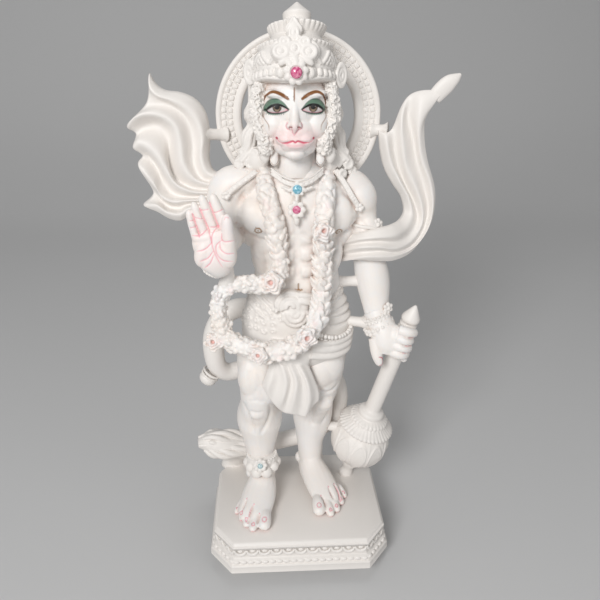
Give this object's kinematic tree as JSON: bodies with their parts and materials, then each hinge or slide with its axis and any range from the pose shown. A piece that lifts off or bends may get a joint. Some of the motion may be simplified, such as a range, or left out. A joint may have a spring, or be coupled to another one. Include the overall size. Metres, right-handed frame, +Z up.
{
  "type": "hanuman figure",
  "caption": "Carved marble temple figure of a standing monkey-faced guardian with halo, crown, flying scarf, flower garland and mace, on its own moulded plinth.",
  "frame": {"origin": "middle of the plinth's flat underside", "axes": "+Z up, from the plinth to the tip of the crown; the figure faces -Y; +X towards its lowered left hand and the mace"},
  "size_m": [0.35, 0.182, 0.61],
  "materials": {
    "marble": "polished white marble, faint warm staining in the hollows",
    "pink_glass": "polished foil-backed glass",
    "blue_glass": "polished foil-backed glass",
    "pale_glass": "polished foil-backed glass"
  },
  "bodies": {
    "root": {"marble_figure": "marble", "forehead_stone": "pink_glass", "collar_stone": "blue_glass", "pendant_stone": "pink_glass", "anklet_stone": "pale_glass"}
  },
  "joints": []
}
